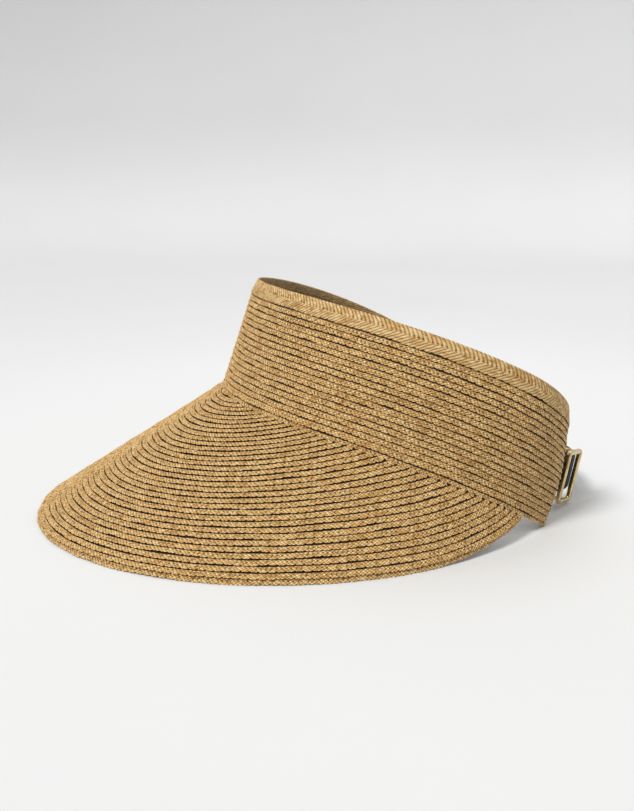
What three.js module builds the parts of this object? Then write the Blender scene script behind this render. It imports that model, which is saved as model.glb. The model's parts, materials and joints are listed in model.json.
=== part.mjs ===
// Sun visor of sewn straw braid: an open-crown band that goes round the head, a wide sloping brim in
// front, and an adjustable webbing strap with a slide buckle at the back.
//
// The visor stands as it does on a table: the brim's outer edge and the two rear lower corners of the
// band touch Z = 0. Front is -Y, the wearer's left side is +X. Millimetres, +Z up.

import * as THREE from 'three';

// ---------------------------------------------------------------- driving dimensions

// Brim outline on the table, and how the rulings run from its edge up to the band.
const BRIM_HALF_WIDTH = 117;
const BRIM_HALF_LENGTH = 131;
const RULING_CENTRE_Y = 65;       // the brim's rulings all point at the vertical line X = 0, Y = this
const BRIM_PITCH = 3.21;          // one visible row of braid
const TIP_LIFT_START = 99.5;      // degrees round from the front where the edge starts to leave the table
const FOOT = 3;                   // width of the flat, measured up the slope, that the outer row rests on
const FOOT_DEPTH = 0.2;           // the least that the outer row's edge is turned down there

// Band: an egg-shaped, slightly conical tube whose axis leans back.
const BAND_LEAN = 25.2;           // degrees
const BAND_CENTRE_Y = 50.4;
const BAND_HALF_WIDTH = 93.7;     // at the seam
const BAND_FRONT = 90.2;          // from the widest place to the front, at the seam
const BAND_REAR = 98;             // from the widest place to the back, at the seam
const WIDTH_FLARE = 0.14;         // growth of each of the three for one millimetre up the band
const FRONT_FLARE = 0.112;
const REAR_FLARE = -0.55;
const SADDLE = 5.9;               // the rows run this much higher at the sides than the mean
const END_LOWER = 128.5;          // degrees round from the front where the band ends, at the seam
const END_UPPER = 147.5;          // and at the top rim

// Braid.
const BAND_PITCH = 2.85;
const BAND_ROWS = 16;
const TOP_BRAID = 5.3;            // height of the wide braid that finishes the top rim
const SEAM_UPPER = 3.4;           // heights of the two braids that cover the joint of band and brim
const SEAM_LOWER = 2.3;
const BRAID = 1.0;                // thickness of one braid
const LAP = 1.2;                  // how far a row reaches over its neighbour
const GAP = 0.35;                 // clearance between pieces that touch

// Wings: the rear ends of the band, which bend in and out about a line just behind the brim's tips.
const HINGE_ANGLE = 113;          // degrees round from the front
const HINGE_LEAN = 12;            // lean of that line, and of the strap, degrees
const HINGE_Y = 94.5;
const HINGE_Z = 41.5;
const WING_GAP = 1.2;             // degrees left open on both sides of the hinge line together

// Tapes inside the band.
const TAPE = 1.1;
const TAPE_GAP = 0.6;             // between a tape and the braid that it lies on
const WALL_GAP = 0.5;             // between the strap or the tab and the end binding that it lies on
const SWEATBAND_HEIGHT = 28;
const SWEATBAND_END = 106;        // degrees
const SEAM_TAPE_HEIGHT = 6.4;

// Strap, keeper tab and slide buckle. Angles are degrees round the closure's own axis, measured from
// the back of the head towards the buckle.
const CLOSURE_Z = 25;             // height of the closure's centre on its axis
const STRAP_RADIUS = 63.5;
const STRAP = 1.2;
const STRAP_WIDTH = 17;
const STRAP_TAIL = 62;
const STRAP_LEAVES = -62;         // where the strap has come away from the far end of the band
const STRAP_SEWN = -76;           // it lies on the inside of the band from here to its root
const STRAP_ROOT = -84;
const BUCKLE_ANGLE = 49;
const BUCKLE_WIDTH = 18.5;        // round the head
const BUCKLE_HEIGHT = 28.5;
const BAR = 2.4;                  // width of the buckle's bars
const BUCKLE_THICKNESS = 2.6;
const BUCKLE_CORNER = 3;
const STRAP_CLEARANCE = 1.0;      // between the strap and the bars that it slides past
const CENTRE_BAR = 2;             // side of the square bar that the tab holds
const PIVOT_CLEARANCE = 0.2;
const TAB_WIDTH = 13;
const TAB = 1.0;
const TAB_CROSSES = 71;           // where the tab turns out to the band, past the strap's tail
const TAB_SEWN = 79;              // it lies on the inside of the band from here to its end
const TAB_END = 86;
const STITCH = 0.8;               // thickness of a row of stitching

const STEP = 10;                  // degrees between stations round the visor
const STRAW_COLOUR = 0xb8935a;

// ---------------------------------------------------------------- helpers

const rad = THREE.MathUtils.degToRad;
const clamp = THREE.MathUtils.clamp;
const visor = new THREE.Group();

function add(name, geometry, material, parent = visor) {
  const mesh = new THREE.Mesh(geometry, material);
  mesh.name = name;
  parent.add(mesh);
  return mesh;
}

function straw(shade) {
  const color = new THREE.Color(STRAW_COLOUR).multiplyScalar(shade);
  return new THREE.MeshStandardMaterial({ color, roughness: 0.85, metalness: 0 });
}

function webbing(hex) {
  return new THREE.MeshStandardMaterial({ color: hex, roughness: 0.9, metalness: 0 });
}

function gold() {
  return new THREE.MeshStandardMaterial({ color: 0xb59a5b, roughness: 0.28, metalness: 1 });
}

/** A closed solid through a list of rings of equal length; outline holds a ring's own 2-D shape. */
function loft(rings, outline) {
  const count = outline.length;
  const points = rings.flat();
  const index = [];
  for (let r = 0; r + 1 < rings.length; r++) {
    for (let i = 0; i < count; i++) {
      const a = r * count + i;
      const b = r * count + (i + 1) % count;
      index.push(a, b, b + count, a, b + count, a + count);
    }
  }
  const last = (rings.length - 1) * count;
  const clockwise = THREE.ShapeUtils.isClockWise(outline);
  for (const face of THREE.ShapeUtils.triangulateShape(outline, [])) {
    const [a, b, c] = clockwise ? face.toReversed() : face;
    index.push(a, c, b);
    index.push(last + a, last + b, last + c);
  }
  const geometry = new THREE.BufferGeometry();
  geometry.setFromPoints(points);
  geometry.setIndex(signedVolume(points, index) < 0 ? index.toReversed() : index);
  return geometry;
}

function signedVolume(points, index) {
  let volume = 0;
  const cross = new THREE.Vector3();
  for (let i = 0; i < index.length; i += 3) {
    cross.crossVectors(points[index[i + 1]], points[index[i + 2]]);
    volume += points[index[i]].dot(cross);
  }
  return volume;
}

/** Evenly stepped values from a to b, with both ends. */
function steps(a, b, size) {
  const count = Math.max(1, Math.round(Math.abs(b - a) / size));
  return Array.from({ length: count + 1 }, (_, i) => a + (b - a) * i / count);
}

/** Root of a rising function between low and high. */
function solve(f, low, high) {
  for (let i = 0; i < 50; i++) {
    const middle = (low + high) / 2;
    if (f(middle) < 0) low = middle;
    else high = middle;
  }
  return (low + high) / 2;
}

// ---------------------------------------------------------------- the band's surface

const BAND_HEIGHT = TOP_BRAID + BAND_ROWS * BAND_PITCH + SEAM_UPPER + SEAM_LOWER;
// How far a lapped row stands off at its lower edge, so that the next row passes under it.
const standOff = (pitch) => (BRAID + GAP) * (pitch + LAP) / pitch;
const BAND_STAND = standOff(BAND_PITCH);

/** Band point in its own upright frame: height over the seam, angle from the front, distance out. */
function bandLocal(height, angle, out) {
  const a = rad(angle);
  const up = height - SADDLE * Math.cos(2 * a);
  const wide = BAND_HALF_WIDTH + WIDTH_FLARE * up;
  const front = Math.abs(angle) < 90;
  const long = front ? BAND_FRONT + FRONT_FLARE * up : BAND_REAR + REAR_FLARE * up;
  const normal = new THREE.Vector2(Math.sin(a) / wide, -Math.cos(a) / long).normalize();
  return new THREE.Vector3(
    wide * Math.sin(a) + normal.x * out,
    -long * Math.cos(a) + normal.y * out,
    up,
  );
}

const LEAN = new THREE.Matrix4().makeRotationX(-rad(BAND_LEAN));
const leaned = (point) => point.applyMatrix4(LEAN);
// The band stands high enough for its rear lower corners to touch the table.
const BAND_CENTRE_Z = -leaned(bandLocal(-LAP, END_LOWER, BAND_STAND + BRAID)).z;

function bandPoint(height, angle, out = 0) {
  const point = leaned(bandLocal(height, angle, out));
  return point.add(new THREE.Vector3(0, BAND_CENTRE_Y, BAND_CENTRE_Z));
}

const bandEnd = (height) => END_LOWER + (END_UPPER - END_LOWER) * height / BAND_HEIGHT;

/** A solid on the band: outline in (height, out), carried round from one angle to another. */
function onBand(outline, from, to) {
  const rings = [];
  for (const angle of steps(from, to, STEP)) {
    rings.push(outline.map((p) => bandPoint(p.x, angle, p.y)));
  }
  return loft(rings, outline);
}

// The band's slanted end is a curve in space. An outline bowed alike gets an end face that follows it.
const END_BOW = 0.01;
const bowed = (p) => at(p.x, p.y - END_BOW * (p.x - BAND_HEIGHT / 2) ** 2);

/** The same on a wing, where each height runs on to the slanted end of the band. */
function onWing(outline, side, start, trim = 0) {
  const rings = [];
  for (const t of steps(0, 1, 0.25)) {
    rings.push(outline.map((p) => {
      const end = bandEnd(clamp(p.x, 0, BAND_HEIGHT)) - trim;
      return bandPoint(p.x, side * (start(p.x) + (end - start(p.x)) * t), p.y);
    }));
  }
  return loft(rings, outline.map(bowed));
}

const at = (height, out) => new THREE.Vector2(height, out);

/** Section of one lapped row from its lower edge, which hangs LAP lower, to its tucked upper edge. */
function rowSection(low, high, stand) {
  return [at(low - LAP, stand), at(low - LAP, stand + BRAID), at(high, BRAID), at(high, 0)];
}

const FRONT_END = HINGE_ANGLE - WING_GAP / 2;
const WING_START = HINGE_ANGLE + WING_GAP / 2;

// Rows of the band from the seam up: name, lower and upper height.
function bandRows() {
  const rows = [
    { name: 'seam_braid_lower', height: SEAM_LOWER },
    { name: 'seam_braid_upper', height: SEAM_UPPER },
  ];
  for (let i = BAND_ROWS; i >= 1; i--) {
    rows.push({ name: `band_row_${String(i).padStart(2, '0')}`, height: BAND_PITCH });
  }
  rows.push({ name: 'top_edge_braid', height: TOP_BRAID });
  let low = 0;
  for (const row of rows) {
    row.low = low;
    row.high = low + row.height;
    low = row.high;
  }
  return rows;
}

const ROWS = bandRows();

function buildBandFront() {
  for (const [i, row] of ROWS.entries()) {
    const section = rowSection(row.low, row.high, BAND_STAND);
    add(row.name, onBand(section, -FRONT_END, FRONT_END), straw(0.92 + 0.08 * (i % 3)));
  }
}

/** Outline of all the rows of a wing together: a stepped outer face and a plain inner one. */
function wingOutline() {
  const outline = [at(0, 0), at(-LAP, BAND_STAND), at(-LAP, BAND_STAND + BRAID)];
  for (const row of ROWS.slice(1)) {
    const under = BRAID + BAND_STAND * LAP / (BAND_PITCH + LAP);
    outline.push(at(row.low - LAP, under), at(row.low - LAP, BAND_STAND + BRAID));
  }
  outline.push(at(BAND_HEIGHT, BRAID));
  // The inner face follows the slanted end, so it needs points of its own.
  for (const height of steps(BAND_HEIGHT, 0, BAND_HEIGHT / 8).slice(0, -1)) {
    outline.push(at(height, 0));
  }
  return outline;
}

function buildWings(sides) {
  for (const [name, side] of sides) {
    add(`${name}_wing_rows`, onWing(wingOutline(), side, () => WING_START), straw(0.96));
    const heights = steps(2, BAND_HEIGHT - 2, BAND_HEIGHT / 8);
    const facing = [
      ...heights.map((h) => at(h, -TAPE_GAP)),
      ...heights.toReversed().map((h) => at(h, -TAPE_GAP - TAPE)),
    ];
    const width = 3;
    add(`${name}_end_binding`, onWing(facing, side, (h) => bandEnd(h) - 1 - width, 1), straw(0.8));
  }
}

function buildTapes() {
  const outer = -TAPE_GAP;
  const inner = outer - TAPE;
  const low = SEAM_TAPE_HEIGHT / 2 + GAP;
  const high = low + SWEATBAND_HEIGHT;
  const sweat = [at(low, inner), at(low, outer), at(high, outer), at(high, inner)];
  add('sweatband', onBand(sweat, -SWEATBAND_END, SWEATBAND_END), webbing(0x6b5538));
  const half = SEAM_TAPE_HEIGHT / 2;
  const tape = [at(-half, inner), at(-half, outer), at(half, outer), at(half, inner)];
  add('inner_seam_tape', onBand(tape, -SWEATBAND_END, SWEATBAND_END), webbing(0x7a6242));
}

// ---------------------------------------------------------------- the brim

const RULING_FOOT = new THREE.Vector2(0, RULING_CENTRE_Y);

/** Where the brim meets the band at one angle: just under the lower seam braid. */
const brimTop = (angle) => bandPoint(-2 * LAP, angle, BRAID);

/** Bearing of a point seen from the ruling centre, degrees from the front. */
function bearing(point) {
  return THREE.MathUtils.radToDeg(Math.atan2(point.x, RULING_FOOT.y - point.y));
}

/** How far round and how high the brim's outer edge runs before it reaches the band. */
function brimTip() {
  const ratio = BRIM_HALF_WIDTH / BRIM_HALF_LENGTH;
  const beyond = (angle) => {
    const p = brimTop(angle);
    return Math.hypot(p.x, p.y * ratio) - BRIM_HALF_WIDTH;
  };
  const point = brimTop(solve(beyond, 80, 127));
  return { point, angle: Math.atan2(point.x, -point.y), bearing: bearing(point) };
}

const TIP = brimTip();

/** Outer edge of the brim on one bearing: on its oval outline, lifted off the table near the tips. */
function brimEdge(degrees) {
  const s = Math.sin(rad(degrees));
  const c = -Math.cos(rad(degrees));
  const ratio = BRIM_HALF_WIDTH / BRIM_HALF_LENGTH;
  const a = s * s + (c * ratio) ** 2;
  const b = RULING_FOOT.y * c * ratio ** 2;
  const d = (RULING_FOOT.y * ratio) ** 2 - BRIM_HALF_WIDTH ** 2;
  const reach = (-b + Math.sqrt(b * b - a * d)) / a;
  const x = s * reach;
  const y = RULING_FOOT.y + c * reach;
  const start = rad(TIP_LIFT_START);
  const rise = clamp((Math.abs(Math.atan2(x, -y)) - start) / (TIP.angle - start), 0, 1);
  return new THREE.Vector3(x, y, TIP.point.z * rise ** 2);
}

/** One ruling of the brim: its lower end, its unit direction up the slope, its length and normal. */
function ruling(degrees) {
  const side = Math.sign(degrees) || 1;
  const angle = solve((t) => bearing(brimTop(t)) - Math.abs(degrees), 0, 127);
  const top = brimTop(side * angle);
  const foot = brimEdge(degrees);
  const along = top.clone().sub(foot);
  const length = along.length();
  along.normalize();
  const round = new THREE.Vector3(Math.cos(rad(degrees)), Math.sin(rad(degrees)), 0);
  const normal = new THREE.Vector3().crossVectors(round, along).normalize();
  return { foot, along, length, normal };
}

// Stations at fixed bearings, shared by every row, so that the rows stay parallel.
const BRIM_REACH = TIP.bearing - 1;
const STATIONS = steps(-BRIM_REACH, BRIM_REACH, STEP).map((degrees) => ({ degrees, ...ruling(degrees) }));

/** The station at a fraction between two stations, on the flat between them. */
function between(a, b, t) {
  return {
    foot: a.foot.clone().lerp(b.foot, t),
    along: a.along.clone().lerp(b.along, t),
    normal: a.normal.clone().lerp(b.normal, t),
    length: a.length + (b.length - a.length) * t,
  };
}

/** Stations of the stretch whose rulings are longer than the given length, with its cut ends. */
function stretch(length) {
  const kept = STATIONS.filter((s) => s.length > length);
  const first = STATIONS.indexOf(kept[0]);
  const last = STATIONS.indexOf(kept.at(-1));
  const cut = (inside, outside) => {
    const t = (inside.length - length) / (inside.length - outside.length);
    return between(inside, outside, t);
  };
  if (first > 0) kept.unshift(cut(STATIONS[first], STATIONS[first - 1]));
  if (last + 1 < STATIONS.length) kept.push(cut(STATIONS[last], STATIONS[last + 1]));
  return kept;
}

const ROWS_PER_COURSE = 2;
const COURSE = BRIM_PITCH * ROWS_PER_COURSE;
const COURSE_STAND = standOff(COURSE);
const SHORTEST_RULING = 2.5;      // a course ends where this much of it is left

/** One course of sewn rows. The outermost has a flat foot; each other laps its outer neighbour. */
function course(number) {
  const low = number === 0 ? 0 : number * COURSE - LAP;
  const high = (number + 1) * COURSE;
  const stand = number === 0 ? 0 : COURSE_STAND;
  const thick = number === 0 ? COURSE_STAND + BRAID : BRAID;
  const rings = stretch(low + SHORTEST_RULING).map((s) => {
    const top = Math.min(high, s.length);
    const outAt = (distance) => stand * (high - distance) / (high - low);
    const place = (distance, out) =>
      s.foot.clone().addScaledVector(s.along, distance).addScaledVector(s.normal, out);
    const ring = [
      place(low, stand),
      place(low, stand + thick),
      place(top, outAt(top) + BRAID),
      place(top, outAt(top)),
    ];
    if (number > 0) return ring;
    const inner = place(FOOT, 0);
    return [...ring, inner.setZ(Math.min(s.foot.z, inner.z - FOOT_DEPTH))];
  });
  const outline = [at(low, 0), at(low, 1), at(high, 1), at(high, 0)];
  if (number === 0) outline.push(at(FOOT, -1));
  return loft(rings, outline);
}

function buildBrim() {
  const longest = Math.max(...STATIONS.map((s) => s.length));
  const courses = Math.ceil((longest - SHORTEST_RULING) / COURSE);
  for (let i = 0; i < courses; i++) {
    const rows = [i * ROWS_PER_COURSE + 1, (i + 1) * ROWS_PER_COURSE];
    const name = `brim_rows_${rows.map((n) => String(n).padStart(2, '0')).join('_')}`;
    add(name, course(i), straw(0.95 + 0.05 * (i % 3)));
  }
}

// ---------------------------------------------------------------- strap, tab and buckle

// The closure's own frame: X across, Y back, Z along the hinge lines.
const closure = new THREE.Group();
const onHinge = (z) => HINGE_Y - (HINGE_Z - z) * Math.tan(rad(HINGE_LEAN));
closure.position.set(0, onHinge(CLOSURE_Z), CLOSURE_Z);
closure.rotation.x = -rad(HINGE_LEAN);
closure.updateMatrixWorld();
visor.add(closure);
const toClosure = closure.matrixWorld.clone().invert();

const polar = (radius, degrees) =>
  new THREE.Vector2(radius * Math.sin(rad(degrees)), radius * Math.cos(rad(degrees)));

/** Smallest distance from the closure's axis to the band's inner face, over a strap's width. */
function insideOfBand(degrees, width) {
  const radii = [-0.5, 0, 0.5].map((share) => {
    const level = share * width;
    const point = (angle) => {
      const height = solve((h) => bandPoint(h, angle).applyMatrix4(toClosure).z - level, -10, 90);
      return bandPoint(height, angle).applyMatrix4(toClosure);
    };
    const past = (angle) => {
      const p = point(angle);
      return THREE.MathUtils.radToDeg(-Math.atan2(p.x, p.y)) + Math.abs(degrees);
    };
    const p = point(solve(past, 90, 170));
    return Math.hypot(p.x, p.y);
  });
  return Math.min(...radii);
}

/** A ribbon of even thickness along a flat path, as wide as asked, centred on the closure's plane. */
function ribbon(path, thickness, width) {
  const outer = [];
  const inner = [];
  path.forEach((p, i) => {
    const before = path[Math.max(i - 1, 0)];
    const after = path[Math.min(i + 1, path.length - 1)];
    const along = after.clone().sub(before).normalize();
    const normal = new THREE.Vector2(-along.y, along.x).multiplyScalar(thickness / 2);
    outer.push(p.clone().add(normal));
    inner.unshift(p.clone().sub(normal));
  });
  return slab(new THREE.Shape([...outer, ...inner]), width);
}

/** A flat shape in the closure's plane, given a width along the hinge lines. */
function slab(shape, width) {
  const geometry = new THREE.ExtrudeGeometry(shape, { depth: width, bevelEnabled: false, steps: 1 });
  return geometry.translate(0, 0, -width / 2);
}

const wallRadius = (degrees, width, thickness) =>
  insideOfBand(degrees, width) - TAPE_GAP - TAPE - WALL_GAP - thickness / 2;

function buildStrap() {
  const path = [];
  for (const degrees of steps(STRAP_ROOT, STRAP_SEWN, 5)) {
    path.push(polar(wallRadius(degrees, STRAP_WIDTH, STRAP), degrees));
  }
  for (const degrees of steps(STRAP_LEAVES, STRAP_TAIL, 5)) {
    path.push(polar(STRAP_RADIUS, degrees));
  }
  add('strap', ribbon(path, STRAP, STRAP_WIDTH), webbing(0x17161a), closure);
  const inset = STRAP / 2 + GAP + STITCH / 2;
  const stitches = steps(STRAP_ROOT + 2, STRAP_SEWN - 2, 3).map((degrees) =>
    polar(wallRadius(degrees, STRAP_WIDTH, STRAP) - inset, degrees));
  add('strap_stitching', ribbon(stitches, STITCH, STRAP_WIDTH - 4), webbing(0x2a2724), closure);
}

// The centre bar lies inside the strap, with the tab's eye round it; the frame lies outside.
const EYE = Math.hypot(CENTRE_BAR, CENTRE_BAR) / 2 + PIVOT_CLEARANCE;
const PIVOT_RADIUS = STRAP_RADIUS - STRAP / 2 - STRAP_CLEARANCE - TAB - EYE;
const PIVOT = polar(PIVOT_RADIUS, BUCKLE_ANGLE);

function buildTab() {
  const path = [];
  const tangent = polar(1, BUCKLE_ANGLE + 90);
  path.push(PIVOT.clone().addScaledVector(tangent, EYE + TAB / 2));
  for (const degrees of steps(BUCKLE_ANGLE + 10, TAB_CROSSES, 5)) {
    path.push(polar(PIVOT_RADIUS, degrees));
  }
  for (const degrees of steps(TAB_SEWN, TAB_END, 3.5)) {
    path.push(polar(wallRadius(degrees, TAB_WIDTH, TAB), degrees));
  }
  const normalAt = (i) => {
    const before = path[Math.max(i - 1, 0)];
    const after = path[Math.min(i + 1, path.length - 1)];
    const along = after.clone().sub(before).normalize();
    return new THREE.Vector2(-along.y, along.x).multiplyScalar(TAB);
  };
  const shape = new THREE.Shape();
  const facing = Math.atan2(tangent.y, tangent.x);
  const opening = Math.asin(TAB / (EYE + TAB));
  shape.absarc(PIVOT.x, PIVOT.y, EYE + TAB, facing + opening, facing - opening + 2 * Math.PI, false);
  path.forEach((p, i) => {
    if (i > 0) shape.lineTo(p.x - normalAt(i).x, p.y - normalAt(i).y);
  });
  for (let i = path.length - 1; i > 0; i--) {
    shape.lineTo(path[i].x + normalAt(i).x, path[i].y + normalAt(i).y);
  }
  const eye = new THREE.Path();
  eye.absarc(PIVOT.x, PIVOT.y, EYE, 0, 2 * Math.PI, true);
  shape.holes.push(eye);
  const options = { depth: TAB_WIDTH, bevelEnabled: false, steps: 1, curveSegments: 10 };
  const geometry = new THREE.ExtrudeGeometry(shape, options).translate(0, 0, -TAB_WIDTH / 2);
  add('keeper_tab', geometry, webbing(0x1b1a1d), closure);
  const stitches = steps(TAB_SEWN + 1, TAB_END - 1, 3).map((degrees) =>
    polar(wallRadius(degrees, TAB_WIDTH, TAB) - TAB - GAP - STITCH / 2, degrees));
  add('tab_stitching', ribbon(stitches, STITCH, TAB_WIDTH - 3), webbing(0x2a2724), closure);
}

function roundedRectangle(width, height, corner) {
  const shape = new THREE.Shape();
  const x = width / 2;
  const y = height / 2;
  shape.moveTo(-x + corner, -y);
  shape.lineTo(x - corner, -y);
  shape.absarc(x - corner, -y + corner, corner, -Math.PI / 2, 0, false);
  shape.lineTo(x, y - corner);
  shape.absarc(x - corner, y - corner, corner, 0, Math.PI / 2, false);
  shape.lineTo(-x + corner, y);
  shape.absarc(-x + corner, y - corner, corner, Math.PI / 2, Math.PI, false);
  shape.lineTo(-x, -y + corner);
  shape.absarc(-x + corner, -y + corner, corner, Math.PI, 1.5 * Math.PI, false);
  return shape;
}

/** The buckle in its own frame: X round the head, Y up, Z away from the head, pivot at the origin. */
function buildBuckle() {
  const buckle = new THREE.Group();
  const across = polar(1, BUCKLE_ANGLE - 90);
  const outward = polar(1, BUCKLE_ANGLE);
  buckle.matrixAutoUpdate = false;
  buckle.matrix.makeBasis(
    new THREE.Vector3(across.x, across.y, 0),
    new THREE.Vector3(0, 0, 1),
    new THREE.Vector3(outward.x, outward.y, 0),
  );
  buckle.matrix.setPosition(PIVOT.x, PIVOT.y, 0);
  closure.add(buckle);

  // The strap curves away behind the flat frame, which therefore sits closer by the strap's bow.
  const reach = BUCKLE_WIDTH / 2 - BAR;
  const bow = STRAP_RADIUS - Math.sqrt(STRAP_RADIUS ** 2 - reach ** 2);
  const face = STRAP_RADIUS + STRAP / 2 + STRAP_CLEARANCE - bow - PIVOT_RADIUS;
  const outline = roundedRectangle(BUCKLE_WIDTH, BUCKLE_HEIGHT, BUCKLE_CORNER);
  const inside = roundedRectangle(BUCKLE_WIDTH - 2 * BAR, BUCKLE_HEIGHT - 2 * BAR, BUCKLE_CORNER - BAR / 2);
  outline.holes.push(new THREE.Path(inside.getPoints(4)));
  const frame = new THREE.ExtrudeGeometry(outline, {
    depth: BUCKLE_THICKNESS, bevelEnabled: false, steps: 1, curveSegments: 4,
  });
  add('buckle_frame', frame.translate(0, 0, face), gold(), buckle);

  // The centre bar is a staple: it runs inside the strap, and its two legs reach up to the frame.
  const side = (BUCKLE_HEIGHT - BAR) / 2;
  const half = CENTRE_BAR / 2;
  const staple = new THREE.Shape();
  staple.moveTo(-side - half, -half);
  staple.lineTo(side + half, -half);
  staple.lineTo(side + half, face - GAP);
  staple.lineTo(side - half, face - GAP);
  staple.lineTo(side - half, half);
  staple.lineTo(-side + half, half);
  staple.lineTo(-side + half, face - GAP);
  staple.lineTo(-side - half, face - GAP);
  const bar = new THREE.ExtrudeGeometry(staple, { depth: CENTRE_BAR, bevelEnabled: false, steps: 1 });
  bar.translate(0, 0, -half);
  const turn = new THREE.Matrix4().makeBasis(
    new THREE.Vector3(0, 1, 0),
    new THREE.Vector3(0, 0, 1),
    new THREE.Vector3(1, 0, 0),
  );
  add('buckle_centre_bar', bar.applyMatrix4(turn), gold(), buckle);
}

// ---------------------------------------------------------------- assembly

buildBrim();
buildBandFront();
buildTapes();
buildWings([['left', 1], ['right', -1]]);
buildStrap();
buildTab();
buildBuckle();

// The origin is the middle of the base: the surface that the visor rests on.
const box = new THREE.Box3().setFromObject(visor, true);
visor.position.y = -(box.min.y + box.max.y) / 2;

export default visor;
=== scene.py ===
import json
import math

import bpy
import numpy as np
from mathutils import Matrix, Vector


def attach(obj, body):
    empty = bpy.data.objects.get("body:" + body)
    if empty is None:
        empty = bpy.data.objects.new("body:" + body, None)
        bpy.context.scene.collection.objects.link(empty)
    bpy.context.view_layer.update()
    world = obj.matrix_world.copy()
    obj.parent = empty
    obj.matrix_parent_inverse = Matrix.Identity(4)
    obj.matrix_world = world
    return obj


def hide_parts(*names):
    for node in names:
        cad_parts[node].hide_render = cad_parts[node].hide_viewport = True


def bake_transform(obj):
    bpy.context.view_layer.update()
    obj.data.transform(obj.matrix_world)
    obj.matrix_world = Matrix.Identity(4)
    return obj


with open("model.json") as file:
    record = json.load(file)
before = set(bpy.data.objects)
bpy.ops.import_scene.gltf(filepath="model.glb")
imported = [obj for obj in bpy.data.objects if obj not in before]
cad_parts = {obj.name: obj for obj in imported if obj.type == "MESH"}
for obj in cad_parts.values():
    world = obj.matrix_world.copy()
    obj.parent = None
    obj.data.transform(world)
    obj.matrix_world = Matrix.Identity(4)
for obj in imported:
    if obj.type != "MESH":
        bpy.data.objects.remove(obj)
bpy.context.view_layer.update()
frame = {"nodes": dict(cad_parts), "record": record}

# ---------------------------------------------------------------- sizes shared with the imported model

BRIM_HALF_WIDTH = 117.0
BRIM_HALF_LENGTH = 131.0
RULING_CENTRE_Y = 65.0
BRIM_PITCH = 3.21
BRIM_ROWS = 36
TIP_LIFT_START = 99.5

BAND_LEAN = math.radians(25.2)
BAND_CENTRE_Y = 50.4
BAND_HALF_WIDTH = 93.7
BAND_FRONT = 90.2
BAND_REAR = 98.0
WIDTH_FLARE = 0.14
FRONT_FLARE = 0.112
REAR_FLARE = -0.55
SADDLE = 5.9
END_LOWER = 128.5
END_UPPER = 147.5

BAND_PITCH = 2.85
BAND_ROWS = 16
TOP_BRAID = 5.3
SEAM_UPPER = 3.4
SEAM_LOWER = 2.3
BRAID = 1.0
LAP = 1.2
GAP = 0.35
TAPE = 1.1
TAPE_GAP = 0.6
WALL_GAP = 0.5
SWEATBAND_HEIGHT = 28.0
SWEATBAND_END = 106.0
SEAM_TAPE_HEIGHT = 6.4

HINGE_Y = 94.5
HINGE_Z = 41.5
HINGE_LEAN = math.radians(12)
CLOSURE_Z = 25.0
STRAP_RADIUS = 63.5
STRAP = 1.2
STRAP_WIDTH = 17.0
STRAP_TAIL = 62.0
STRAP_LEAVES = -62.0
STRAP_SEWN = -76.0
STRAP_ROOT = -84.0
BUCKLE_ANGLE = 49.0
BUCKLE_WIDTH = 18.5
BUCKLE_HEIGHT = 28.5
BAR = 2.4
BUCKLE_THICKNESS = 2.6
BUCKLE_CORNER = 3.0
STRAP_CLEARANCE = 1.0
CENTRE_BAR = 2.0
PIVOT_CLEARANCE = 0.2
TAB_WIDTH = 13.0
TAB = 1.0
TAB_CROSSES = 71.0
TAB_SEWN = 79.0
TAB_END = 86.0

BAND_HEIGHT = TOP_BRAID + BAND_ROWS * BAND_PITCH + SEAM_UPPER + SEAM_LOWER

# ---------------------------------------------------------------- sizes of the finish

STRAND = 1.85          # spacing of the plait's strands along a row
STRAND_RISE = 1.4      # and across it
WIDE_STRAND = 2.1      # the same two for the wide braid of the top rim
WIDE_RISE = 1.9
RELIEF = 0.45          # how far a strand stands out between its neighbours
SCALLOP = 0.5          # how far the lower edge swings in and out where the strands turn
TUCK = 1.2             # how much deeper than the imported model's a row's upper edge is tucked in
SEAL = 0.4             # how far the tucked edge is pressed up against the row over it
SEWN = 0.42            # how far a sewn row stands clear of the one below it
EDGE_STAND = 0.3       # how far the brim's outermost row stands off
SEAM_TUCK = 2.4        # how far a brim row's end runs up under the seam braid
SHORTEST_END = 0.6     # a brim row ends where this much of it is left outside the seam
ROW_OFFSET = 3.1       # each row's plait starts this much further along than the one before
KNOT_SPACING = 7       # distance between the random values that a row's edge wanders through
DRIFT = 0.16           # spread of that wandering up and down
SWELL = 0.12           # and in and out
LOBES = 4096           # number of random lobe sizes drawn for a row
PAINTED_LAP_SHADE = 1.0        # painted shade under a row's free edge
PAINTED_INNER_SHADE = 0.55     # and painted shade on the rest of its inner face
LAP_SHARE = 0.3        # share of a row's width, from its free edge, that gets the full painted shade on the inner face
HOLE = 2.1             # spacing of the pin-holes between crossing strands, painted as dark spots of shade
HOLE_HEIGHT = 0.42     # where they lie, as a share of the row
LAP_SHADOW_FROM = 1.1        # the painted shadow line under the next row's free edge starts this far short of the row's pitch
LAP_SHADOW_FULL = 0.55       # and is full this far short of it
STATION = 0.45         # length of one mesh step along a row
END_BEND = 0.5         # radius at which a row turns in at the end of the band
END_TAPE = 4.5         # width of the tape over the turned-in row ends
END_TRIM = 0.8         # degrees by which it stays back from the band's end
MM_PER_DEGREE = 1.6    # length of the band there for one degree
END_MARGIN = 1.5       # distance of its ends from the seam and from the top rim
STITCH = 1.9           # length of one stitch with the space after it

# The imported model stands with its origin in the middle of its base; the plan's origin is this far off.
hinges = {j["name"]: j for j in frame["record"]["behaviour"]["joints"]}
SHIFT_Y = hinges["left_wing_flex"]["pos_m"][1] * 1000 - HINGE_Y
SIDES = {"left": 1, "right": -1}


# ---------------------------------------------------------------- meshes

def in_metres(points):
    """Plan millimetres to the frame's metres: shifted along Y, then scaled."""
    return (np.asarray(points, float).reshape(-1, 3) + [0, SHIFT_Y, 0]) * 0.001


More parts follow.
